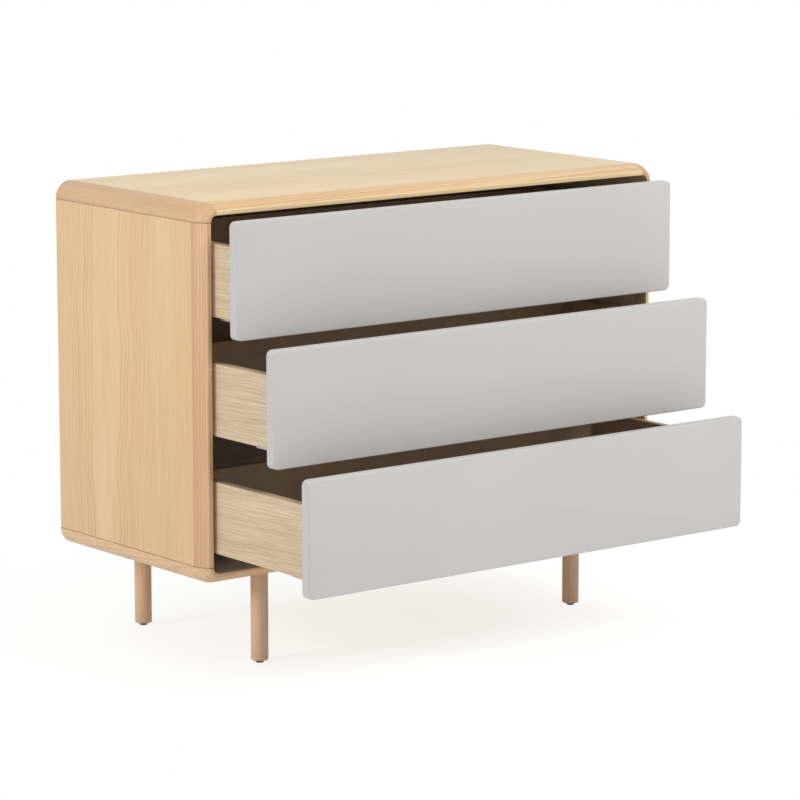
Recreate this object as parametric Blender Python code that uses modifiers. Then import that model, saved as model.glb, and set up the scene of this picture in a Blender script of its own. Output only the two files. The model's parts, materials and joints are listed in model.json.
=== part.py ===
# A chest of three drawers: a rounded wooden case on four round legs.
# The drawers ride on full-extension runners hidden under their boxes, and stand part open.
# Metres, +Z up, the front faces -Y, the floor is z = 0.
# The origin is on the floor, at the middle of the chest with its drawers standing open.
import math

import bmesh
import bpy
from mathutils import Matrix

# Case
case_width = 0.990
overall_height = 0.7945
case_depth = 0.433
ground_clearance = 0.159
wall = 0.019
inner_corner_radius = 0.011
rim_width = 0.0068
lipping_depth = 0.030
back_thickness = 0.006
rebate_width = 0.008

# Legs and what joins them to the case
leg_diameter = 0.030
leg_side_inset = 0.148
leg_front_inset = 0.051
leg_back_inset = 0.034
leg_edge_round = 0.0025
glide_diameter = 0.014
glide_height = 0.004
glide_edge = 0.0008
stem_diameter = 0.006
stem_length = 0.012
stud_diameter = 0.008
stud_length = 0.013
stud_chamfer = 0.001

# Drawers, from the top one down, and how far each stands open
drawer_openings = {"top": 0.0656, "middle": 0.1647, "bottom": 0.2584}
front_thickness = 0.020
front_side_gap = 0.003
front_top_gap = 0.0045
front_middle_gap = 0.003
front_bottom_gap = 0.002
front_corner_radius = 0.010
front_edge_round = 0.002

# Drawer boxes
box_side_gap = 0.0057
box_side_thickness = 0.015
box_back_thickness = 0.013
box_back_space = 0.044
box_base_rise = 0.0325
box_top_drop = 0.041
box_back_drop = 0.006
box_edge_round = 0.001
bottom_thickness = 0.006
bottom_recess = 0.013
groove_depth = 0.006

# Runners under the boxes: a rail on the case, a slider and a rail on the drawer
sheet = 0.0015
flange_height = 0.016
web_drop = 0.0045
channel_clearance = 0.003
channel_width = 0.028
channel_wall_height = 0.008
runner_back_space = 0.024
slider_setback = 0.002
drawer_rail_back_inset = 0.007
clip_length = 0.052
clip_width = 0.024
clip_drop = 0.0072
clip_step = 0.005
clip_nose = 0.012
clip_round = 0.002
clip_runner_gap = 0.003

# Clearances: glued seams, pieces that seat, pieces that slide, and how far a cutter stands out
seam = 0.0002
seat = 0.0003
slip = 0.0004
cutter_overshoot = 0.005

# How finely round things are divided
corner_steps = 14
edge_steps = 8
turned_steps = 32
fillet_steps = 6
small_steps = 3
turned_crease = math.radians(40)
corner_crease = math.radians(25)
weld = 0.00001

# Worked out from the sizes above
drawer_count = len(drawer_openings)
outer_corner_radius = inner_corner_radius + wall
case_front = (drawer_openings["bottom"] - case_depth) / 2
opening_half = case_width / 2 - wall
opening_bottom = ground_clearance + wall
opening_top = overall_height - wall
front_gaps = front_top_gap + front_bottom_gap + front_middle_gap * (drawer_count - 1)
front_height = (opening_top - opening_bottom - front_gaps) / drawer_count
front_half = opening_half - front_side_gap
ledge = case_depth - back_thickness - seat

# Heights and depths in a drawer, from the low edge and the face of its front
box_half = opening_half - box_side_gap
box_inner_half = box_half - box_side_thickness
box_start = front_thickness + seat
box_end = ledge - box_back_space
box_top = front_height - box_top_drop
bottom_under = box_base_rise + bottom_recess
bottom_over = bottom_under + bottom_thickness
clip_end = front_thickness + clip_length
runner_start = clip_end + clip_runner_gap
runner_end = ledge - runner_back_space
web_over = box_base_rise - web_drop
channel_wall_top = web_over + channel_wall_height
channel_outer = box_inner_half - channel_clearance
channel_inner = channel_outer - channel_width
slider_outer = channel_outer - sheet - slip
slider_inner = channel_inner + sheet + slip
drawer_rail_over = bottom_under - seat
drawer_rail_under = drawer_rail_over - sheet
slider_over = drawer_rail_under - slip

# Looks of the materials: linear red, green and blue, then roughness and metallic
pale_ash = (0.82, 0.62, 0.36, 0.4, 0.0)
warm_ash = (0.80, 0.56, 0.31, 0.45, 0.0)
solid_ash = (0.74, 0.49, 0.27, 0.45, 0.0)
leg_wood = (0.72, 0.49, 0.32, 0.5, 0.0)
brown_board = (0.56, 0.42, 0.28, 0.6, 0.0)
box_veneer = (0.67, 0.53, 0.36, 0.55, 0.0)
grey_lacquer = (0.63, 0.62, 0.60, 0.5, 0.0)
zinc_steel = (0.55, 0.56, 0.57, 0.4, 1.0)
dark_plastic = (0.05, 0.05, 0.05, 0.5, 0.0)
grey_plastic = (0.66, 0.64, 0.66, 0.5, 0.0)

# Turns that lay an outline's plane across the width or along the depth
facing_front = (math.radians(90), 0, 0)
facing_side = (math.radians(90), 0, math.radians(90))
sides = {"left": -1, "right": 1}


def new_collection(name):
    made = bpy.data.collections.new(name)
    bpy.context.scene.collection.children.link(made)
    return made


def finish(obj, look, holder=None):
    # Gives a part its own material, its holder and its place among the parts.
    red, green, blue, roughness, metallic = look
    material = bpy.data.materials.new(obj.name + "_finish")
    material.use_nodes = True
    shader = material.node_tree.nodes["Principled BSDF"]
    shader.inputs["Base Color"].default_value = (red, green, blue, 1.0)
    shader.inputs["Roughness"].default_value = roughness
    shader.inputs["Metallic"].default_value = metallic
    obj.data.materials.clear()
    obj.data.materials.append(material)
    obj.parent = holder
    parts.objects.link(obj)


def empty_at(name, place):
    holder = bpy.data.objects.new(name, None)
    holder.location = place
    parts.objects.link(holder)
    return holder


def arc(centre, radius, start, end, steps):
    # Points along an arc, from one angle to another in degrees.
    points = []
    for step in range(steps + 1):
        angle = math.radians(start + (end - start) * step / steps)
        points.append((centre[0] + radius * math.cos(angle), centre[1] + radius * math.sin(angle)))
    return points


def rounded_rectangle(half, low, high, radius, steps):
    points = arc((half - radius, high - radius), radius, 0, 90, steps)
    points += arc((radius - half, high - radius), radius, 90, 180, steps)
    points += arc((radius - half, low + radius), radius, 180, 270, steps)
    points += arc((half - radius, low + radius), radius, 270, 360, steps)
    return points


def for_side(side, outline):
    # Outlines are drawn for the right side, 1, and turned over for the left side, -1.
    return [(side * x, y) for x, y in outline]


def outline_solid(name, outline, thickness, edge_round=0.0):
    # A flat outline in the object's XY plane, thickened evenly to both sides.
    curve = bpy.data.curves.new(name, "CURVE")
    curve.dimensions = "2D"
    curve.fill_mode = "BOTH"
    curve.extrude = thickness / 2 - edge_round
    curve.bevel_depth = edge_round
    curve.bevel_resolution = small_steps
    curve.offset = -edge_round
    spline = curve.splines.new("POLY")
    spline.points.add(len(outline) - 1)
    for point, (x, y) in zip(spline.points, outline):
        point.co = (x, y, 0.0, 1.0)
    spline.use_cyclic_u = True
    return bpy.data.objects.new(name, curve)


def as_mesh(obj):
    # The object's shape as a plain closed mesh, and the object removed.
    bpy.context.scene.collection.objects.link(obj)
    bpy.context.view_layer.update()
    graph = bpy.context.evaluated_depsgraph_get()
    mesh = bpy.data.meshes.new_from_object(obj.evaluated_get(graph))
    bpy.data.objects.remove(obj)
    work = bmesh.new()
    work.from_mesh(mesh)
    bmesh.ops.remove_doubles(work, verts=work.verts, dist=weld)
    work.to_mesh(mesh)
    work.free()
    return mesh


def turned(name, profile):
    # A profile of radius and height, drawn down its outer side and turned about Z.
    mesh = bpy.data.meshes.new(name)
    work = bmesh.new()
    line = [work.verts.new((radius, 0.0, height)) for radius, height in profile]
    for first, second in zip(line, line[1:]):
        work.edges.new((first, second))
    work.to_mesh(mesh)
    work.free()
    obj = bpy.data.objects.new(name, mesh)
    screw = obj.modifiers.new("Turn", "SCREW")
    screw.steps = turned_steps
    screw.render_steps = turned_steps
    screw.use_merge_vertices = True
    screw.merge_threshold = weld
    solid = as_mesh(obj)
    solid.shade_smooth()
    solid.set_sharp_from_angle(angle=turned_crease)
    return solid


def board(name, low, high):
    # A plain board between two opposite corners.
    size = [far - near for near, far in zip(low, high)]
    mesh = bpy.data.meshes.new(name)
    work = bmesh.new()
    bmesh.ops.create_cube(work, size=1.0)
    bmesh.ops.scale(work, vec=size, verts=work.verts)
    work.to_mesh(mesh)
    work.free()
    obj = bpy.data.objects.new(name, mesh)
    obj.location = [(near + far) / 2 for near, far in zip(low, high)]
    return obj


def front_edge():
    # The rounded front of a wall across and along the depth, from its outer face to the flat rim.
    inset = wall - rim_width
    radius = (lipping_depth ** 2 + inset ** 2) / (2 * inset)
    turn = math.degrees(math.asin(lipping_depth / radius))
    return arc((wall - radius, lipping_depth), radius, 0, -turn, edge_steps)


def back_edge():
    # The square back of a wall, with the rebate that takes the back panel.
    return [(0, ledge), (rebate_width, ledge), (rebate_width, case_depth), (wall, case_depth)]


def cut_by(piece, cutter):
    # The piece as a mesh, with the cutter's shape taken out of it.
    name = piece.name
    placed = piece.matrix_basis.copy()
    solid = bpy.data.objects.new(name, as_mesh(piece))
    solid.matrix_basis = placed
    cut = solid.modifiers.new("Cut", "BOOLEAN")
    cut.operation = "DIFFERENCE"
    cut.object = cutter
    return solid


def make_wall(name, turn, place, run, look, cutter=None):
    # A veneered panel behind a solid lipping, both running from corner to corner.
    start = lipping_depth + seam
    panel = outline_solid(name + "_panel", [(0, start)] + back_edge() + [(wall, start)], run)
    lipping = outline_solid(name + "_front_lipping", front_edge() + [(0, 0), (0, lipping_depth)], run)
    for piece in (panel, lipping):
        piece.location = place
        piece.rotation_euler = (0, math.radians(turn), 0)
    if cutter:
        panel = cut_by(panel, cutter)
    finish(panel, look)
    finish(lipping, solid_ash)


def make_corner(name, turn, place):
    # A solid corner moulding: the section of the walls swept through a quarter turn.
    work = bmesh.new()
    outline = front_edge() + [(0, 0)] + back_edge()
    line = [work.verts.new((inner_corner_radius + across, depth, 0)) for across, depth in outline]
    edges = [work.edges.new((line[i - 1], line[i])) for i in range(len(line))]
    bmesh.ops.spin(work, geom=line + edges, cent=(0, 0, 0), axis=(0, -1, 0), angle=math.radians(90),
                   steps=corner_steps)
    bmesh.ops.holes_fill(work, edges=work.edges)
    bmesh.ops.recalc_face_normals(work, faces=work.faces)
    mesh = bpy.data.meshes.new(name)
    work.to_mesh(mesh)
    work.free()
    mesh.shade_smooth()
    mesh.set_sharp_from_angle(angle=corner_crease)
    corner = bpy.data.objects.new(name, mesh)
    corner.location = place
    corner.rotation_euler = (0, math.radians(turn), 0)
    finish(corner, solid_ash)


def make_case():
    # Four walls, four corner mouldings and the back panel.
    across = case_width - 2 * outer_corner_radius - 2 * seat
    upright = overall_height - ground_clearance - 2 * outer_corner_radius - 2 * seat
    middle = (opening_top + opening_bottom) / 2
    make_wall("right_side", 0, (opening_half, case_front, middle), upright, warm_ash)
    make_wall("top", -90, (0, case_front, opening_top), across, pale_ash)
    make_wall("left_side", 180, (-opening_half, case_front, middle), upright, warm_ash)
    make_wall("bottom", 90, (0, case_front, opening_bottom), across, pale_ash, stud_drill())
    x = opening_half - inner_corner_radius
    high = opening_top - inner_corner_radius
    low = opening_bottom + inner_corner_radius
    make_corner("top_right_corner", 0, (x, case_front, high))
    make_corner("top_left_corner", -90, (-x, case_front, high))
    make_corner("bottom_left_corner", 180, (-x, case_front, low))
    make_corner("bottom_right_corner", 90, (x, case_front, low))
    reach = rebate_width - seat
    outline = rounded_rectangle(opening_half + reach, opening_bottom - reach, opening_top + reach,
                                inner_corner_radius + reach, fillet_steps)
    back = outline_solid("back_panel", outline, back_thickness)
    back.location = (0, case_front + ledge + seat + back_thickness / 2, 0)
    back.rotation_euler = facing_front
    finish(back, warm_ash)


def leg_places():
    x = case_width / 2 - leg_side_inset
    front = case_front + leg_front_inset
    rear = case_front + case_depth - leg_back_inset
    return {"front_left": (-x, front, 0), "front_right": (x, front, 0),
            "rear_left": (-x, rear, 0), "rear_right": (x, rear, 0)}


def stud_drill():
    # Cutters for the blind holes in the case's bottom that take the legs' studs.
    radius = stud_diameter / 2 + seat
    roof = ground_clearance + stud_length + seat
    mouth = ground_clearance - cutter_overshoot
    drill = turned("drill", [(0, roof), (radius, roof), (radius, mouth), (0, mouth)])
    work = bmesh.new()
    for place in leg_places().values():
        hole = drill.copy()
        hole.transform(Matrix.Translation(place))
        work.from_mesh(hole)
    mesh = bpy.data.meshes.new("stud_holes")
    work.to_mesh(mesh)
    work.free()
    cutter = bpy.data.objects.new("stud_holes", mesh)
    cutter.hide_render = True
    cutter.display_type = "WIRE"
    cutters.objects.link(cutter)
    return cutter


def make_legs():
    # Round legs with a stud that screws into the case and a hole for the glide's stem.
    radius = leg_diameter / 2
    stud = stud_diameter / 2
    stud_top = ground_clearance + stud_length
    top = ground_clearance - seat
    foot = glide_height + seat
    stem_hole = stem_diameter / 2 + seat
    stem_roof = foot + stem_length + seat
    profile = [(0, stud_top), (stud - stud_chamfer, stud_top), (stud, stud_top - stud_chamfer), (stud, top),
               (radius, top)]
    profile += arc((radius - leg_edge_round, foot + leg_edge_round), leg_edge_round, 0, -90, small_steps)
    profile += [(stem_hole, foot), (stem_hole, stem_roof), (0, stem_roof)]
    leg = turned("leg", profile)
    disc = glide_diameter / 2
    stem = stem_diameter / 2
    stem_top = glide_height + stem_length
    glide = turned("glide", [(0, stem_top), (stem, stem_top), (stem, glide_height), (disc, glide_height),
                             (disc, glide_edge), (disc - glide_edge, 0), (0, 0)])
    for name, place in leg_places().items():
        for piece, mesh, look in (("leg", leg, leg_wood), ("glide", glide, dark_plastic)):
            obj = bpy.data.objects.new(f"{name}_{piece}", mesh.copy())
            obj.location = place
            finish(obj, look)


def lengthwise(name, outline, start, end):
    # A section across the drawer, carried back from one depth to another.
    obj = outline_solid(name, outline, end - start)
    obj.location = (0, (start + end) / 2, 0)
    obj.rotation_euler = facing_front
    return obj


def box_side_outline():
    # A box side seen from the front, with the groove for the drawer's bottom in its inner face.
    groove_low = bottom_under - seat
    groove_high = bottom_over + seat
    groove = box_inner_half + groove_depth
    rise = box_top - box_edge_round
    points = [(box_inner_half, box_base_rise), (box_half, box_base_rise)]
    points += arc((box_half - box_edge_round, rise), box_edge_round, 0, 90, small_steps)
    points += arc((box_inner_half + box_edge_round, rise), box_edge_round, 90, 180, small_steps)
    points += [(box_inner_half, groove_high), (groove, groove_high), (groove, groove_low),
               (box_inner_half, groove_low)]
    return points


def case_rail_outline():
    # A flange on the case's side, a web under the box side and a channel for the slider.
    flange = opening_half - seat
    flange_low = web_over - flange_height
    return [(flange, flange_low), (flange, web_over), (channel_outer, web_over),
            (channel_outer, channel_wall_top), (channel_outer - sheet, channel_wall_top),
            (channel_outer - sheet, web_over), (channel_inner + sheet, web_over),
            (channel_inner + sheet, channel_wall_top), (channel_inner, channel_wall_top),
            (channel_inner, web_over - sheet), (flange - sheet, web_over - sheet),
            (flange - sheet, flange_low)]


def hat_outline(inner, outer, low, high):
    # A folded sheet that is open below.
    return [(inner, low), (inner, high), (outer, high), (outer, low), (outer - sheet, low),
            (outer - sheet, high - sheet), (inner + sheet, high - sheet), (inner + sheet, low)]


def clip_outline():
    # The locking clip seen from the side, with the long lever that hangs below the box.
    roof = bottom_under - seat
    lever = box_base_rise - clip_drop
    shelf = lever + clip_step
    lever_start = box_start + clip_nose
    points = [(box_start, roof), (clip_end, roof)]
    points += arc((clip_end - clip_round, lever + clip_round), clip_round, 0, -90, small_steps)
    points += arc((lever_start + clip_round, lever + clip_round), clip_round, -90, -135, small_steps)
    points += [(lever_start - clip_step, shelf), (box_start, shelf)]
    return points


def make_box(name, holder):
    # The front and the box behind it: two sides, the back and the bottom.
    outline = rounded_rectangle(front_half, 0, front_height, front_corner_radius, fillet_steps)
    front = outline_solid(name + "_front", outline, front_thickness, front_edge_round)
    front.location = (0, front_thickness / 2, 0)
    front.rotation_euler = facing_front
    finish(front, grey_lacquer, holder)
    for word, side in sides.items():
        piece = lengthwise(f"{name}_{word}_side", for_side(side, box_side_outline()), box_start, box_end)
        finish(piece, box_veneer, holder)
    half = box_inner_half - seat
    reach = box_inner_half + groove_depth - seat
    back = board(name + "_back", (-half, box_end - box_back_thickness, bottom_over + seat),
                 (half, box_end, box_top - box_back_drop))
    bottom = board(name + "_bottom", (-reach, box_start, bottom_under), (reach, box_end, bottom_over))
    finish(back, brown_board, holder)
    finish(bottom, brown_board, holder)


def make_runners(name, case, halfway, drawer):
    # On each side a rail on the case, a slider in its channel, a rail on the drawer and its clip.
    slider = hat_outline(slider_inner, slider_outer, web_over + slip, slider_over)
    cap = hat_outline(slider_inner - slip - sheet, slider_outer + slip + sheet,
                      channel_wall_top + slip, drawer_rail_over)
    for word, side in sides.items():
        case_rail = lengthwise(f"{name}_{word}_case_rail", for_side(side, case_rail_outline()),
                               runner_start, runner_end)
        finish(case_rail, zinc_steel, case)
        middle = lengthwise(f"{name}_{word}_slider", for_side(side, slider),
                            runner_start + slider_setback, runner_end - slider_setback)
        finish(middle, zinc_steel, halfway)
        drawer_rail = lengthwise(f"{name}_{word}_rail", for_side(side, cap),
                                 clip_end + seat, box_end - drawer_rail_back_inset)
        finish(drawer_rail, zinc_steel, drawer)
        clip = outline_solid(f"{name}_{word}_clip", clip_outline(), clip_width)
        clip.location.x = side * (box_inner_half - slip - clip_width / 2)
        clip.rotation_euler = facing_side
        finish(clip, grey_plastic, drawer)


def make_drawer(name, opening, floor):
    # A drawer, with sliders that travel half as far and rails that stay on the case.
    drawer = empty_at(name + "_slide", (0, case_front - opening, floor))
    halfway = empty_at(name + "_slider_slide", (0, case_front - opening / 2, floor))
    case = empty_at(name + "_level", (0, case_front, floor))
    make_box(name, drawer)
    make_runners(name, case, halfway, drawer)


for obj in list(bpy.data.objects):
    bpy.data.objects.remove(obj, do_unlink=True)
parts = new_collection("chest_of_drawers")
cutters = new_collection("cutters")
make_case()
make_legs()
floor = opening_top - front_top_gap
for name, opening in drawer_openings.items():
    floor -= front_height
    make_drawer(name + "_drawer", opening, floor)
    floor -= front_middle_gap
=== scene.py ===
import json
import math

import bpy
from mathutils import Matrix, Vector

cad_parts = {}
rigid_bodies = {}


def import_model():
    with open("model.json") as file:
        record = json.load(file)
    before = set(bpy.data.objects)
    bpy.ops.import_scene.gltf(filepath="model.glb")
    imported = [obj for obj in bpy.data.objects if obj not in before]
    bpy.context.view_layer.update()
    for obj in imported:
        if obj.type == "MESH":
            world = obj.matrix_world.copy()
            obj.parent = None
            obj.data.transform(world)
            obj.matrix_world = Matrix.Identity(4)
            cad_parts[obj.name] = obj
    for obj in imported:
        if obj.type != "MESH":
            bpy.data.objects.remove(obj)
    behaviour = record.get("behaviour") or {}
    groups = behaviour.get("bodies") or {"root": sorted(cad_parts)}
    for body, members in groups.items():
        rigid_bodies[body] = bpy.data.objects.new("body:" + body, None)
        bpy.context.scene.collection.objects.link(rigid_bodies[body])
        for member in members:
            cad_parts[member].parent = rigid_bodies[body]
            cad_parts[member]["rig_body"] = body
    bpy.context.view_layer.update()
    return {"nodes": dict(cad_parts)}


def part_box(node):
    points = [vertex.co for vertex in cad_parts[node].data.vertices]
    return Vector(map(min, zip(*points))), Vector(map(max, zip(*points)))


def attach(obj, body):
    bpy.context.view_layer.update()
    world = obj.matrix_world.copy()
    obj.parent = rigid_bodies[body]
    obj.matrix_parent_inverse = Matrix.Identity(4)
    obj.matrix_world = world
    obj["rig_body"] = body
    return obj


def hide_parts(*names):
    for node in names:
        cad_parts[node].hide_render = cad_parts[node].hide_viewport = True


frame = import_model()
nodes = frame["nodes"]
drawers = ("top", "middle", "bottom")
hands = ("left", "right")
print("chest loaded:", len(nodes), "nodes")


class Wire:  # a socket in a node tree, so that shader maths reads as plain arithmetic
    def __init__(self, tree, socket=None):
        self.tree = tree
        self.socket = socket

    def node(self, kind, settings=None, inputs=None, output=0):
        made = self.tree.nodes.new(kind)
        for name, value in (settings or {}).items():
            setattr(made, name, value)
        for name, value in (inputs or {}).items():
            if isinstance(value, Wire):
                self.tree.links.new(value.socket, made.inputs[name])
            else:
                made.inputs[name].default_value = value
        return Wire(self.tree, made.outputs[output])

    def also(self, output):  # another output of the same node
        return Wire(self.tree, self.socket.node.outputs[output])

    def math(self, operation, *values):
        return self.node("ShaderNodeMath", {"operation": operation}, dict(enumerate(values)))

    def __add__(self, other):
        return self.math("ADD", self, other)

    def __radd__(self, other):
        return self.math("ADD", other, self)

    def __sub__(self, other):
        return self.math("SUBTRACT", self, other)

    def __rsub__(self, other):
        return self.math("SUBTRACT", other, self)

    def __mul__(self, other):
        return self.math("MULTIPLY", self, other)

    def __rmul__(self, other):
        return self.math("MULTIPLY", other, self)

    def __truediv__(self, other):
        return self.math("DIVIDE", self, other)

    def __rtruediv__(self, other):
        return self.math("DIVIDE", other, self)

    def __pow__(self, other):
        return self.math("POWER", self, other)

    def __rpow__(self, other):
        return self.math("POWER", other, self)


def tint(red, green, blue):  # a colour as a paint chart gives it, 0 to 255, made linear
    def linear(value):
        value = value / 255
        return value / 12.92 if value <= 0.04045 else ((value + 0.055) / 1.055) ** 2.4
    return (linear(red), linear(green), linear(blue), 1.0)


def darker(colour, share):
    return tint(*[value * share for value in colour])


def newFinish(name):
    finish = bpy.data.materials.new(name)
    finish.use_nodes = True
    return finish, Wire(finish.node_tree), finish.node_tree.nodes["Principled BSDF"]


def plug(wire, shader, name):
    wire.tree.links.new(wire.socket, shader.inputs[name])


def plugFinish(shader, colour, rough, normal):
    plug(colour, shader, "Base Color")
    plug(rough, shader, "Roughness")
    plug(normal, shader, "Normal")


def objectPlace(wire):
    return wire.node("ShaderNodeTexCoord", {}, {}, "Object")


def coordinate(wire, place, axis):
    return wire.node("ShaderNodeSeparateXYZ", {}, {0: place}, axis)


mixSockets = {"first": 6, "second": 7, "result": 2}  # where a Mix node keeps its colours


def mixed(wire, factor, first, second):
    inputs = {0: factor, mixSockets["first"]: first, mixSockets["second"]: second}
    return wire.node("ShaderNodeMix", {"data_type": "RGBA"}, inputs, mixSockets["result"])


noiseMiddle = 0.5  # what noise swings about
smoothNoise, plainNoise, fineNoise = 1.0, 2.0, 3.0  # how much detail it has


def grown(wire, place, stretch, detail=plainNoise):  # noise drawn out by the stretch
    spread = wire.node("ShaderNodeVectorMath", {"operation": "MULTIPLY"}, {0: place, 1: stretch})
    return wire.node("ShaderNodeTexNoise", {"noise_dimensions": "3D"},
                     {"Vector": spread, "Scale": 1.0, "Detail": detail})


def grownOver(wire, value, scale):  # noise along a single value
    return wire.node("ShaderNodeTexNoise", {"noise_dimensions": "1D"},
                     {"W": value, "Scale": scale, "Detail": smoothNoise})


def between(wire, value, low, high):  # 0 below low, 1 above high, soft in between
    return wire.node("ShaderNodeMapRange", {"interpolation_type": "SMOOTHSTEP"},
                     {"Value": value, "From Min": low, "From Max": high})


def bumped(wire, height, distance, strength):
    return wire.node("ShaderNodeBump", {}, {"Height": height, "Distance": distance, "Strength": strength})


# The print on a board's foil, drawn out along X, and the grit of its surface
printLook = {"cloud": (5.0, 14.0, 14.0), "cloudFrom": (0.3, 0.7),
             "fleck": (24.0, 420.0, 420.0), "fleckFrom": (0.5, 0.8), "fleckShare": 0.5,
             "grit": (900.0, 900.0, 900.0), "gritRough": 0.2, "bump": (0.00008, 0.5)}
# The light brown board that lines the case, and the warmer one in the drawer boxes
linerLook = {"low": (210, 190, 173), "high": (220, 200, 183), "fleck": (190, 168, 150)}
brownLook = {"low": (197, 177, 154), "high": (209, 189, 166), "fleck": (177, 156, 134), "rough": 0.55}


def boardColour(wire, place, look):
    cloud = between(wire, grown(wire, place, printLook["cloud"], fineNoise), *printLook["cloudFrom"])
    fleck = between(wire, grown(wire, place, printLook["fleck"]), *printLook["fleckFrom"])
    colour = mixed(wire, cloud, tint(*look["low"]), tint(*look["high"]))
    return mixed(wire, fleck * printLook["fleckShare"], colour, tint(*look["fleck"]))


def boardFinish(name, look):
    finish, wire, shader = newFinish(name)
    place = objectPlace(wire)
    grit = grown(wire, place, printLook["grit"])
    plugFinish(shader, boardColour(wire, place, look),
               look["rough"] + (grit - noiseMiddle) * printLook["gritRough"],
               bumped(wire, grit, *printLook["bump"]))
    return finish


# Which way the grain runs: turns that lay the log's own axis along X, Y or Z
grainAlong = {"x": (0, math.radians(-90), 0), "y": (math.radians(90), 0, 0), "z": (0, 0, 0)}

# What all ash shares: how its figure is drawn out across and along the log, and how strongly it shows.
# sway, drift and ripple bend the rings, pace spaces them, years gathers them, fade lets them come and go
grainLook = {"sway": 2.4, "drift": (9.0, 9.0, 1.6), "ripple": (30.0, 30.0, 9.0),
             "pace": 46.0, "paceShift": 2.2, "years": 15.0, "yearsFrom": (0.45, 0.56),
             "fade": (16.0, 16.0, 3.0), "fadeFrom": (0.36, 0.62), "fadeLeast": 0.5, "heartFade": 0.7,
             "warmth": (11.0, 11.0, 1.1), "warmthFrom": (0.3, 0.7),
             "fibre": (620.0, 620.0, 7.0), "fibreFrom": (0.45, 0.85), "fibreShare": 0.30,
             "pore": (1300.0, 1300.0, 26.0), "poreFrom": (0.56, 0.72), "poreShade": 0.72,
             "fibreRough": 0.16, "poreRough": 0.08, "linerRough": 0.06,
             "fibreHeight": 0.6, "poreDepth": 0.5, "relief": 0.3, "bump": (0.00012, 0.6)}

# pith: where the heart of the log lies beside the piece; lean: how far the log is tipped; ring: a year's
# growth; sway, wave: how far and how often the whole log meanders; waver, ripple: how far its rings do;
# lines: the strength of the dark lines; groups: how far they keep to bands of years; sharp: how narrow they
# are; heart: the radii where they begin, are full, weaken and are weak; relief: how far they stand out;
# and last, painted light or shade along Y: from where to where the wood turns towards a colour, how far,
# and which
ashLooks = {
    # the top and bottom panels' pale, less saturated colours are the veneer's own colour with a painted
    # sheen, the white sheen its lacquer shows at grazing views
    "top": {"grain": "x", "pith": (0.90, -0.12, 0.0), "lean": (0.0, 0.006, 0.0), "ring": 0.0085,
            "sway": 0.06, "wave": 2.6, "waver": 0.008, "ripple": 0.0015,
            "pale": (239, 217, 176), "warm": (235, 210, 168), "line": (212, 180, 136),
            "lines": 0.30, "groups": 0.8, "sharp": 3.0, "pores": 0.10, "rough": 0.46},
    "side": {"grain": "z", "pith": (0.515, -0.198, 0.0), "lean": (0.0, 0.004, 0.0), "ring": 0.0095,
             "sway": 0.055, "wave": 4.4, "waver": 0.012, "ripple": 0.0024,
             "pale": (237, 204, 159), "warm": (230, 193, 146), "line": (186, 130, 80),
             "lines": 0.6, "groups": 0.6, "heart": (0.031, 0.050, 0.080, 0.105), "sharp": 3.0,
             "pores": 0.14, "relief": 0.08, "rough": 0.44},
    "back": {"grain": "x", "pith": (1.1, -0.3, 0.0), "lean": (0.0, 0.02, 0.0), "ring": 0.0085,
             "sway": 0.09, "wave": 2.8, "waver": 0.008, "ripple": 0.0015,
             "pale": (231, 199, 156), "warm": (226, 192, 147), "line": (180, 131, 87),
             "lines": 0.7, "groups": 0.9, "sharp": 3.2, "pores": 0.14, "rough": 0.5},
    "lippingX": {"grain": "x", "pith": (-0.5, 0.9, 0.0), "lean": (0.0, 0.03, 0.0), "ring": 0.0065,
                 "sway": 0.006, "wave": 1.6, "waver": 0.003, "ripple": 0.0006,
                 "pale": (241, 208, 159), "warm": (237, 200, 151), "line": (205, 142, 100),
                 "lines": 1.0, "groups": 0.2, "sharp": 2.0, "pores": 0.16, "rough": 0.42},
    "lippingZ": {"grain": "z", "pith": (-0.155, 0.83, 0.0), "lean": (0.002, 0.0, 0.0), "ring": 0.0058,
                 "sway": 0.012, "wave": 3.0, "waver": 0.004, "ripple": 0.0008,
                 "pale": (241, 203, 157), "warm": (236, 196, 150), "line": (186, 132, 96),
                 "lines": 1.0, "groups": 0.2, "sharp": 1.7, "pores": 0.16, "rough": 0.44,
                 # painted shade where the side lipping faces the left lamp, so that it is no lighter than
                 # its shaded round
                 "paintedShading": (-0.096, -0.062, 0.40, (186, 132, 96))},
    "topCorner": {"grain": "y", "pith": (0.385, 0.885, 0.0), "lean": (0.0, 0.004, 0.0), "ring": 0.0030,
                  "sway": 0.006, "wave": 1.6, "waver": 0.003, "ripple": 0.0005,
                  "pale": (229, 191, 146), "warm": (223, 182, 138), "line": (178, 127, 84),
                  "lines": 1.0, "groups": 0.3, "sharp": 2.0, "pores": 0.18, "rough": 0.44},
    "bottomCorner": {"grain": "y", "pith": (0.415, 0.24, 0.0), "lean": (0.0, 0.06, 0.0), "ring": 0.0042,
                     "sway": 0.02, "wave": 2.4, "waver": 0.008, "ripple": 0.0015,
                     "pale": (240, 204, 163), "warm": (234, 196, 153), "line": (183, 136, 98),
                     "lines": 0.45, "groups": 0.3, "sharp": 2.4, "pores": 0.18, "rough": 0.44},
    "leg": {"grain": "z", "pith": (0.31, 0.2, 0.0), "lean": (0.008, 0.01, 0.0), "ring": 0.0060,
            "sway": 0.008, "wave": 1.6, "waver": 0.006, "ripple": 0.001,
            "pale": (234, 198, 164), "warm": (225, 187, 153), "line": (192, 147, 113),
            "lines": 0.4, "groups": 0.3, "sharp": 2.0, "pores": 0.16, "rough": 0.48},
}
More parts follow.
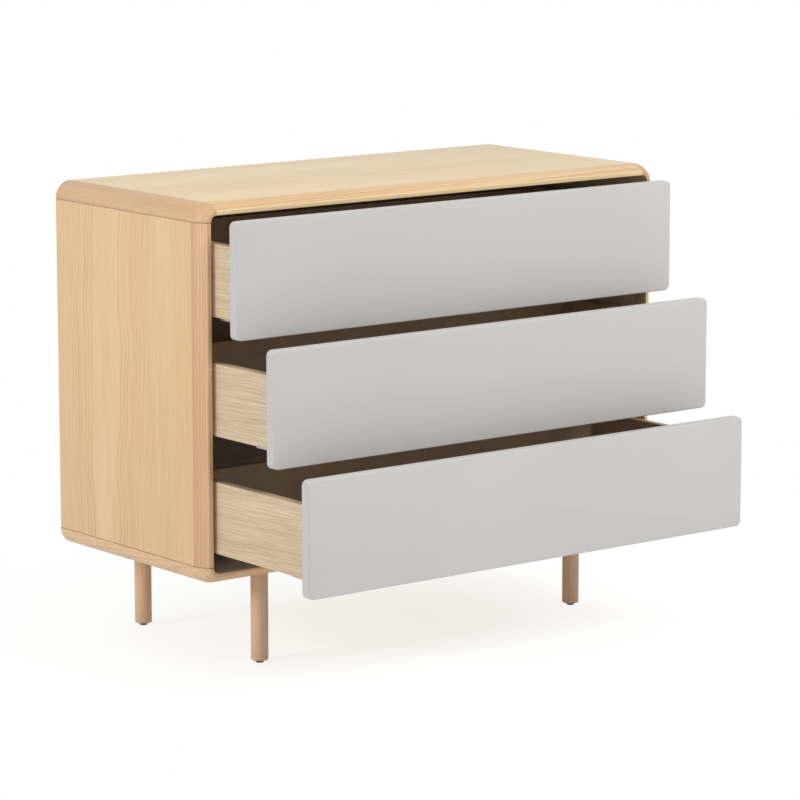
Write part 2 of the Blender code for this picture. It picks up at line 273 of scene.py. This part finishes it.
# the top lipping's front band, whose rounded underside shows dark, gets painted light; the side lippings
# get painted shade
lippingLooks = {"top": {**ashLooks["lippingX"], "paintedShading": (-0.0855, -0.0870, 0.8, (255, 229, 178))},
                "bottom": ashLooks["lippingX"], "left_side": ashLooks["lippingZ"],
                "right_side": ashLooks["lippingZ"]}
# Painted shade in the open joints of the case: how dark and how strong, how far from the joint it is full,
# and where it ends
jointShadeLook = {"dark": (120, 84, 54), "depth": 0.45, "full": 0.0004, "end": 0.0012}


def ringRadius(wire, log, look):  # how far a place lies from the heart of the log, on rings that waver
    sway = grown(wire, log, (grainLook["sway"], grainLook["sway"], look["wave"]), smoothNoise) - noiseMiddle
    drift = grown(wire, log, grainLook["drift"]) - noiseMiddle
    ripple = grown(wire, log, grainLook["ripple"]) - noiseMiddle
    across = wire.node("ShaderNodeSeparateXYZ", {}, {0: log})
    u, v = across, across.also("Y") + sway * look["sway"]
    return (u * u + v * v) ** 0.5 + drift * look["waver"] + ripple * look["ripple"]


def lateWood(wire, log, look):  # the dark line that ends each year
    radius = ringRadius(wire, log, look)
    pace = grownOver(wire, radius, grainLook["pace"])
    years = grownOver(wire, radius, grainLook["years"])
    fade = between(wire, grown(wire, log, grainLook["fade"]), *grainLook["fadeFrom"])
    ring = wire.math("FRACT", radius / look["ring"] + pace * grainLook["paceShift"])
    kept = 1 - look["groups"] * (1 - between(wire, years, *grainLook["yearsFrom"]))
    if "heart" in look:  # plain along the heart of the log, then strong lines, then fainter ones
        bare, full, strong, faint = look["heart"]
        kept = kept * between(wire, radius, bare, full)
        kept = kept * (1 - grainLook["heartFade"] * between(wire, radius, strong, faint))
    return ring ** look["sharp"] * kept * (grainLook["fadeLeast"] + fade * (1 - grainLook["fadeLeast"]))


# inside: a mask of the faces that the brown board lines; joints: the heights of the open joints, along
# which shade is painted
def ashFinish(name, look, inside=None, joints=()):
    finish, wire, shader = newFinish(name)
    place = objectPlace(wire)
    turn = [a + b for a, b in zip(grainAlong[look["grain"]], look["lean"])]
    log = wire.node("ShaderNodeMapping", {}, {"Vector": place, "Rotation": turn, "Location": look["pith"]})
    late = lateWood(wire, log, look)
    fibre = grown(wire, log, grainLook["fibre"], fineNoise)
    pore = between(wire, grown(wire, log, grainLook["pore"]), *grainLook["poreFrom"])
    warmth = between(wire, grown(wire, log, grainLook["warmth"], fineNoise), *grainLook["warmthFrom"])
    strands = between(wire, fibre, *grainLook["fibreFrom"]) * grainLook["fibreShare"]
    colour = mixed(wire, warmth, tint(*look["pale"]), tint(*look["warm"]))
    colour = mixed(wire, late * look["lines"], colour, tint(*look["line"]))
    colour = mixed(wire, strands, colour, tint(*look["line"]))
    colour = mixed(wire, pore * look["pores"], colour, darker(look["line"], grainLook["poreShade"]))
    # painted light or shade along Y, evening out how the lamps fall across the rounded lipping
    if "paintedShading" in look:
        start, end, share, other = look["paintedShading"]
        turned = between(wire, coordinate(wire, place, "Y"), start, end)
        colour = mixed(wire, turned * share, colour, tint(*other))
    # painted shade along each open joint, strongest at the joint
    for joint in joints:
        away = wire.math("ABSOLUTE", coordinate(wire, place, "Z") - joint)
        jointShade = jointShadeLook["depth"] * (1 - between(wire, away, jointShadeLook["full"], jointShadeLook["end"]))
        colour = mixed(wire, jointShade, colour, tint(*jointShadeLook["dark"]))
    rough = look["rough"] + (fibre - noiseMiddle) * grainLook["fibreRough"] + pore * grainLook["poreRough"]
    if inside:
        lined = inside(wire, place)
        colour = mixed(wire, lined, colour, boardColour(wire, place, linerLook))
        rough = rough + lined * grainLook["linerRough"]
    height = fibre * grainLook["fibreHeight"] - pore * grainLook["poreDepth"]
    height = height + late * look.get("relief", grainLook["relief"])
    plugFinish(shader, colour, rough, bumped(wire, height, *grainLook["bump"]))
    return finish


def insideOfWall(axis, value, beyond):  # 1 on the face that closes the case's hollow
    def mask(wire, place):
        return wire.math("GREATER_THAN" if beyond else "LESS_THAN", coordinate(wire, place, axis), value)
    return mask


def insideOfCorner(x, z, radius):  # 1 on the hollow's round corner
    def mask(wire, place):
        dx = coordinate(wire, place, "X") - x
        dz = coordinate(wire, place, "Z") - z
        return wire.math("LESS_THAN", (dx * dx + dz * dz) ** 0.5, radius)
    return mask


# edge: painted shade on the narrow end faces, which keeps them from showing lighter than the front, and how
# far before the end it starts and is full
greyLook = {"paint": (210, 208, 205), "cloud": (207, 205, 202), "rough": 0.5, "shine": 0.35,
            "edge": (202, 201, 198), "edgeStart": 0.0022, "edgeFull": 0.0004,
            "cloudSize": (3.0, 3.0, 3.0), "cloudFrom": (0.3, 0.7), "cloudRough": 0.08,
            "peel": (480.0, 480.0, 480.0), "bump": (0.00004, 0.5)}


def lacquerFinish(name, endFace, look):
    finish, wire, shader = newFinish(name)
    place = objectPlace(wire)
    cloud = grown(wire, place, look["cloudSize"], fineNoise)
    peel = grown(wire, place, look["peel"])
    # painted shade on the narrow end faces of the front
    reached = wire.math("ABSOLUTE", coordinate(wire, place, "X"))
    endShade = between(wire, reached, endFace - look["edgeStart"], endFace - look["edgeFull"])
    clouded = between(wire, cloud, *look["cloudFrom"])
    colour = mixed(wire, clouded, tint(*look["paint"]), tint(*look["cloud"]))
    plugFinish(shader, mixed(wire, endShade, colour, tint(*look["edge"])),
               look["rough"] + (cloud - noiseMiddle) * look["cloudRough"],
               bumped(wire, peel, *look["bump"]))
    shader.inputs["Specular IOR Level"].default_value = look["shine"]
    return finish


steelLook = {"bright": (196, 198, 200), "dull": (164, 167, 170), "spangle": (60.0, 60.0, 60.0),
             "spangleFrom": (0.35, 0.65), "drawn": (1500.0, 8.0, 1500.0), "rough": 0.34, "drawnRough": 0.2,
             "bump": (0.00003, 0.4)}


def steelFinish(name, look):  # zinc on steel that was drawn along Y
    finish, wire, shader = newFinish(name)
    place = objectPlace(wire)
    drawn = grown(wire, place, look["drawn"])
    spangle = between(wire, grown(wire, place, look["spangle"], fineNoise), *look["spangleFrom"])
    plugFinish(shader, mixed(wire, spangle, tint(*look["bright"]), tint(*look["dull"])),
               look["rough"] + (drawn - noiseMiddle) * look["drawnRough"],
               bumped(wire, drawn, *look["bump"]))
    shader.inputs["Metallic"].default_value = 1.0
    return finish


plasticLook = {"glide": (58, 54, 52), "clip": (214, 211, 213), "rough": 0.5,
               "grit": (1400.0, 1400.0, 1400.0), "gritFrom": (0.35, 0.65), "gritShade": 0.86,
               "gritRough": 0.2, "bump": (0.00006, 0.5)}


def plasticFinish(name, paint, look):
    finish, wire, shader = newFinish(name)
    grit = grown(wire, objectPlace(wire), look["grit"])
    pits = between(wire, grit, *look["gritFrom"])
    plugFinish(shader, mixed(wire, pits, tint(*paint), darker(paint, look["gritShade"])),
               look["rough"] + (grit - noiseMiddle) * look["gritRough"],
               bumped(wire, grit, *look["bump"]))
    return finish


# edge, edgeDrop: painted shade on the edging strip along the top, which the drawer above shades, and how
# far down it reaches; skin: how deep the outer veneer goes
boxLook = {"pale": (226, 205, 175), "warm": (219, 196, 165), "line": (191, 165, 133), "lean": 1.2,
           "warmth": (40.0, 1.6, 40.0), "warmthFrom": (0.35, 0.65),
           "streak": (560.0, 12.0, 560.0), "streakFrom": (0.4, 0.62), "lines": 0.6,
           "fibre": (760.0, 36.0, 760.0), "fibreRough": 0.15, "fibreHeight": 0.6,
           "pore": (1100.0, 24.0, 1100.0), "poreFrom": (0.52, 0.7), "pores": 0.3, "poreShade": 0.86,
           "poreDepth": 0.5, "bump": (0.0001, 0.6), "rough": 0.55,
           "edge": (176, 156, 130), "edgeDrop": 0.0012, "skin": 0.0004}


def boxFinish(name, outerFace, topEdge, look):  # light veneer outside, brown inside, an edging strip on top painted darker as its shade
    finish, wire, shader = newFinish(name)
    place = objectPlace(wire)
    turn = (math.radians(look["lean"]), 0, 0)
    leant = wire.node("ShaderNodeMapping", {}, {"Vector": place, "Rotation": turn})
    warmth = between(wire, grown(wire, leant, look["warmth"], fineNoise), *look["warmthFrom"])
    streak = between(wire, grown(wire, leant, look["streak"], fineNoise), *look["streakFrom"])
    fibre = grown(wire, leant, look["fibre"], fineNoise)
    pore = between(wire, grown(wire, leant, look["pore"]), *look["poreFrom"])
    colour = mixed(wire, warmth, tint(*look["pale"]), tint(*look["warm"]))
    colour = mixed(wire, streak * look["lines"], colour, tint(*look["line"]))
    colour = mixed(wire, pore * look["pores"], colour, darker(look["line"], look["poreShade"]))
    reached = wire.math("ABSOLUTE", coordinate(wire, place, "X"))
    outer = wire.math("GREATER_THAN", reached, outerFace - look["skin"])
    # painted shade on the edging strip along the top, with its grain
    shadedTop = wire.math("GREATER_THAN", coordinate(wire, place, "Z"), topEdge - look["edgeDrop"])
    colour = mixed(wire, outer, boardColour(wire, place, brownLook), colour)
    colour = mixed(wire, shadedTop, colour, mixed(wire, fibre, tint(*look["edge"]), tint(*look["line"])))
    height = fibre * look["fibreHeight"] - pore * look["poreDepth"]
    plugFinish(shader, colour, look["rough"] + (fibre - noiseMiddle) * look["fibreRough"],
               bumped(wire, height, *look["bump"]))
    return finish


def dress(obj, finish):
    obj.data.materials.clear()
    obj.data.materials.append(finish)


def deselect():
    bpy.ops.object.select_all(action="DESELECT")


mergeWithin = 0.00001  # corners of loose triangles closer than this are one
flatWithin = 0.4  # faces that turn by less than these degrees are one
jointReach = 0.0007  # how near an open joint an edge counts as part of it
# width: the bevel along the joints of sides and corners; rest: the part of it that other edges get;
# from: the angle that makes an edge sharp; smooth: the angle up to which faces shade as one
caseEase = {"width": 0.0009, "rest": 0.35, "segments": 2, "from": 30, "smooth": 35}
legEase = {"width": 0.0006, "rest": 1.0, "segments": 2, "from": 50, "smooth": 40}
boxEase = {"width": 0.0003, "rest": 1.0, "segments": 2, "from": 40, "smooth": 35}
frontEase = {"smooth": 40}  # its solid is rounded already


def bevelSharpEdges(piece, easing, joints):  # wide along the open joints, slight elsewhere
    bpy.ops.object.mode_set(mode="EDIT")
    bpy.ops.mesh.select_all(action="DESELECT")
    bpy.ops.mesh.edges_select_sharp(sharpness=math.radians(easing["from"]))
    bpy.ops.object.mode_set(mode="OBJECT")
    mesh = piece.data
    weights = mesh.attributes.new("bevel_weight_edge", "FLOAT", "EDGE")
    for edge in mesh.edges:
        if edge.select:
            heights = [mesh.vertices[corner].co.z for corner in edge.vertices]
            openJoint = any(abs(height - joint) < jointReach for joint in joints for height in heights)
            weights.data[edge.index].value = 1.0 if openJoint else easing["rest"]
    bevel = piece.modifiers.new("Ease", "BEVEL")
    bevel.width = easing["width"]
    bevel.segments = easing["segments"]
    bevel.limit_method = "WEIGHT"
    bpy.ops.object.modifier_apply(modifier=bevel.name)


def eased(name, easing, joints=()):  # a merged, smooth copy of a solid, its edges eased, in its place
    deselect()
    solid = nodes[name]
    piece = bpy.data.objects.new(name + "_eased", solid.data.copy())
    bpy.context.scene.collection.objects.link(piece)
    piece.select_set(True)
    bpy.context.view_layer.objects.active = piece
    bpy.ops.object.mode_set(mode="EDIT")
    bpy.ops.mesh.select_mode(type="EDGE")
    bpy.ops.mesh.select_all(action="SELECT")
    bpy.ops.mesh.customdata_custom_splitnormals_clear()
    bpy.ops.mesh.remove_doubles(threshold=mergeWithin)
    bpy.ops.mesh.dissolve_limited(angle_limit=math.radians(flatWithin))
    bpy.ops.object.mode_set(mode="OBJECT")
    if "width" in easing:
        bevelSharpEdges(piece, easing, joints)
    bpy.ops.object.shade_smooth_by_angle(angle=math.radians(easing["smooth"]))
    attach(piece, solid["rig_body"])
    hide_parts(name)
    return piece


def mirrored(look, hand):  # the same log, turned over for the right side and the bottom
    first, second, third = look["pith"]
    return look if hand == "left" else {**look, "pith": (-first, second, third)}


reach = 0.0003  # how far past the inner faces the brown board is taken to reach
leftLow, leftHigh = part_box("left_side_panel")
leftIn = leftHigh.x
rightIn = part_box("right_side_panel")[0].x
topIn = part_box("top_panel")[0].z
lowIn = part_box("bottom_panel")[1].z
sideJoints = (leftLow.z, leftHigh.z)
hollow = {"left_side": insideOfWall("X", leftIn - reach, True),
          "right_side": insideOfWall("X", rightIn + reach, False),
          "top": insideOfWall("Z", topIn + reach, False),
          "bottom": insideOfWall("Z", lowIn - reach, True)}
for wall, mask in hollow.items():
    level = wall in ("top", "bottom")
    hand = "right" if wall in ("right_side", "bottom") else "left"
    joints = () if level else sideJoints
    panelLook = mirrored(ashLooks["top" if level else "side"], hand)
    panel = eased(wall + "_panel", caseEase, joints)
    dress(panel, ashFinish(wall + "Veneer", panelLook, mask, joints))
    lipping = eased(wall + "_front_lipping", caseEase, joints)
    dress(lipping, ashFinish(wall + "Lipping", mirrored(lippingLooks[wall], hand), mask, joints))
boardThickness = leftIn - leftLow.x
for high in ("top", "bottom"):
    for hand in hands:
        name = f"{high}_{hand}_corner"
        low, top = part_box(name)
        x = top.x if hand == "left" else low.x
        z = low.z if high == "top" else top.z
        mask = insideOfCorner(x, z, top.x - low.x - boardThickness + reach)
        cornerLook = mirrored(ashLooks[high + "Corner"], hand)
        piece = eased(name, caseEase, sideJoints)
        dress(piece, ashFinish(f"{high}{hand.title()}Corner", cornerLook, mask, sideJoints))
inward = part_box("back_panel")[0].y + reach
dress(nodes["back_panel"], ashFinish("backVeneer", ashLooks["back"], insideOfWall("Y", inward, False)))
print("case dressed")

legWood = ashFinish("legWood", ashLooks["leg"])
glideBlack = plasticFinish("glideBlack", plasticLook["glide"], plasticLook)
for end in ("front", "rear"):
    for hand in hands:
        leg = eased(f"{end}_{hand}_leg", legEase)
        dress(leg, legWood)
        dress(nodes[f"{end}_{hand}_glide"], glideBlack)
print("legs dressed")

greyLacquer = lacquerFinish("greyLacquer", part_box("top_drawer_front")[1].x, greyLook)
brownBoard = boardFinish("brownBoard", brownLook)
zincSteel = steelFinish("zincSteel", steelLook)
clipGrey = plasticFinish("clipGrey", plasticLook["clip"], plasticLook)
for drawer in drawers:
    start = drawer + "_drawer_"
    front = eased(start + "front", frontEase)
    dress(front, greyLacquer)
    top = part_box(start + "right_side")[1]
    veneer = boxFinish(drawer + "BoxVeneer", top.x, top.z, boxLook)
    for hand in hands:
        side = eased(f"{start}{hand}_side", boxEase)
        dress(side, veneer)
        for piece in ("case_rail", "slider", "rail"):
            dress(nodes[f"{start}{hand}_{piece}"], zincSteel)
        dress(nodes[f"{start}{hand}_clip"], clipGrey)
    dress(nodes[start + "back"], brownBoard)
    dress(nodes[start + "bottom"], brownBoard)
print("drawers dressed")

# inset: from the panel's edge; across, upright: screws along each edge; turn: how the recesses differ
screwLook = {"radius": 0.0032, "depth": 0.0016, "sides": 28, "rim": 0.0004, "rimSteps": 2, "smooth": 35,
             "slot": (0.0042, 0.0014, 0.0008), "proud": 0.0001, "inset": 0.0045, "across": 5, "upright": 3,
             "turn": 37}
topNormal = 0.9  # a face whose normal has more than this of Y is the top of the head


def modelScrew(look):  # a countersunk head with a cross recess that faces +Y, its top in the plane y = 0
    deselect()
    bpy.ops.mesh.primitive_cylinder_add(vertices=look["sides"], radius=look["radius"], depth=look["depth"],
                                        location=(0, -look["depth"] / 2, 0),
                                        rotation=(math.radians(-90), 0, 0))
    head = bpy.context.active_object
    bpy.ops.object.transform_apply(location=True, rotation=True, scale=True)
    for face in head.data.polygons:
        face.select = face.normal.y > topNormal
    bpy.ops.object.mode_set(mode="EDIT")
    bpy.ops.mesh.select_mode(type="FACE")
    bpy.ops.mesh.bevel(offset=look["rim"], segments=look["rimSteps"], affect="EDGES")
    bpy.ops.object.mode_set(mode="OBJECT")
    for turn in (0, 90):
        deselect()
        bpy.ops.mesh.primitive_cube_add(size=1, scale=look["slot"], rotation=(0, math.radians(turn), 0))
        blade = bpy.context.active_object
        bpy.ops.object.transform_apply(location=True, rotation=True, scale=True)
        deselect()
        head.select_set(True)
        bpy.context.view_layer.objects.active = head
        cut = head.modifiers.new("Recess", "BOOLEAN")
        cut.object = blade
        cut.solver = "EXACT"
        bpy.ops.object.modifier_apply(modifier=cut.name)
        bpy.data.objects.remove(blade)
    bpy.ops.object.shade_smooth_by_angle(angle=math.radians(look["smooth"]))
    return head


def spaced(low, high, count):  # the middles of equal steps
    return [low + (high - low) * ((step + 0.5) / count) for step in range(count)]


screw = modelScrew(screwLook)
dress(screw, zincSteel)
low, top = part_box("back_panel")
rear = top.y + screwLook["proud"]
rows = (low.z + screwLook["inset"], top.z - screwLook["inset"])
columns = (low.x + screwLook["inset"], top.x - screwLook["inset"])
places = [(x, rear, z) for x in spaced(low.x, top.x, screwLook["across"]) for z in rows]
places += [(x, rear, z) for z in spaced(low.z, top.z, screwLook["upright"]) for x in columns]
for number, place in enumerate(places):
    head = bpy.data.objects.new(f"back_screw_{number + 1}", screw.data.copy())
    bpy.context.scene.collection.objects.link(head)
    head.data.transform(Matrix.Rotation(math.radians(screwLook["turn"] * number), 4, "Y"))
    head.data.transform(Matrix.Translation(place))
    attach(head, nodes["back_panel"]["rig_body"])
bpy.data.objects.remove(screw)
print("back screwed on:", len(places), "screws")

cameraLook = {"place": (-3.9807, -5.0352, 1.5403), "heading": 38.2176, "down": 10.0074, "focal": 168.613,
              "film": 36, "sight": 100}
cameraTurn = (math.radians(90 - cameraLook["down"]), 0, math.radians(-cameraLook["heading"]))
bpy.ops.object.camera_add(location=cameraLook["place"], rotation=cameraTurn)
camera = bpy.context.active_object
camera.data.sensor_width = cameraLook["film"]
camera.data.lens = cameraLook["focal"]
camera.data.clip_end = cameraLook["sight"]
bpy.context.scene.camera = camera


def seenRays(wire):  # 1 for rays that show a thing, straight or mirrored, 0 for rays that light others
    path = wire.node("ShaderNodeLightPath", {}, {}, "Is Camera Ray")
    mirrors = wire.math("MAXIMUM", path.also("Is Glossy Ray"), path.also("Is Transmission Ray"))
    return wire.math("MAXIMUM", path, mirrors)


# paint: what lights the chest from below; seenPaint, seenGlow: what shows near it, where its shadow lies;
# middle, near, far: from where to where the shown floor fades to white
floorLook = {"size": 60, "paint": (0.80, 0.80, 0.80, 1.0), "seenPaint": (0.27, 0.37, 0.43, 1.0),
             "seenGlow": (0.80, 0.75, 0.70, 1.0), "middle": (-0.06, 0.15, 0.0), "near": 0.17, "far": 0.8}
pureWhite = (1.0, 1.0, 1.0, 1.0)
deselect()
bpy.ops.mesh.primitive_plane_add(size=floorLook["size"], location=(0, 0, 0))
floor = bpy.context.active_object
floor.name = "floor"
floorFinish, wire, shader = newFinish("paleFloor")
wire.tree.nodes.remove(shader)
plain = wire.node("ShaderNodeBsdfDiffuse", {}, {"Color": floorLook["paint"]})
matt = wire.node("ShaderNodeBsdfDiffuse", {}, {"Color": floorLook["seenPaint"]})
glow = wire.node("ShaderNodeEmission", {}, {"Color": floorLook["seenGlow"], "Strength": 1.0})
shaded = wire.node("ShaderNodeAddShader", {}, {0: matt, 1: glow})
white = wire.node("ShaderNodeEmission", {}, {"Color": pureWhite, "Strength": 1.0})
away = wire.node("ShaderNodeVectorMath", {"operation": "DISTANCE"},
                 {0: objectPlace(wire), 1: floorLook["middle"]}, "Value")
fading = between(wire, away, floorLook["near"], floorLook["far"])
seen = wire.node("ShaderNodeMixShader", {}, {0: fading, 1: shaded, 2: white})
plug(wire.node("ShaderNodeMixShader", {}, {0: seenRays(wire), 1: plain, 2: seen}),
     wire.tree.nodes["Material Output"], "Surface")
dress(floor, floorFinish)

lightLook = {"ambient": 0.5, "aim": (0.0, 0.0, 0.4)}
lampLooks = {"leftLamp": {"place": (-6.33, 0.89, 2.73), "size": 1.8, "power": 150},
             "frontLamp": {"place": (2.04, -4.8, 4.77), "size": 2.4, "power": 204}}
world = bpy.data.worlds.new("studio")
world.use_nodes = True
bpy.context.scene.world = world
wire = Wire(world.node_tree)
wire.tree.nodes.remove(wire.tree.nodes["Background"])
soft = wire.node("ShaderNodeBackground", {}, {"Color": pureWhite, "Strength": lightLook["ambient"]})
bright = wire.node("ShaderNodeBackground", {}, {"Color": pureWhite, "Strength": 1.0})
plug(wire.node("ShaderNodeMixShader", {}, {0: seenRays(wire), 1: soft, 2: bright}),
     wire.tree.nodes["World Output"], "Surface")
for name, look in lampLooks.items():
    bpy.ops.object.light_add(type="AREA", location=look["place"])
    lamp = bpy.context.active_object
    lamp.name = name
    lamp.data.size = look["size"]
    lamp.data.energy = look["power"]
    lamp.rotation_euler = (Vector(lightLook["aim"]) - lamp.location).to_track_quat("-Z", "Y").to_euler()
bpy.context.scene.view_settings.view_transform = "Standard"
print("studio set")
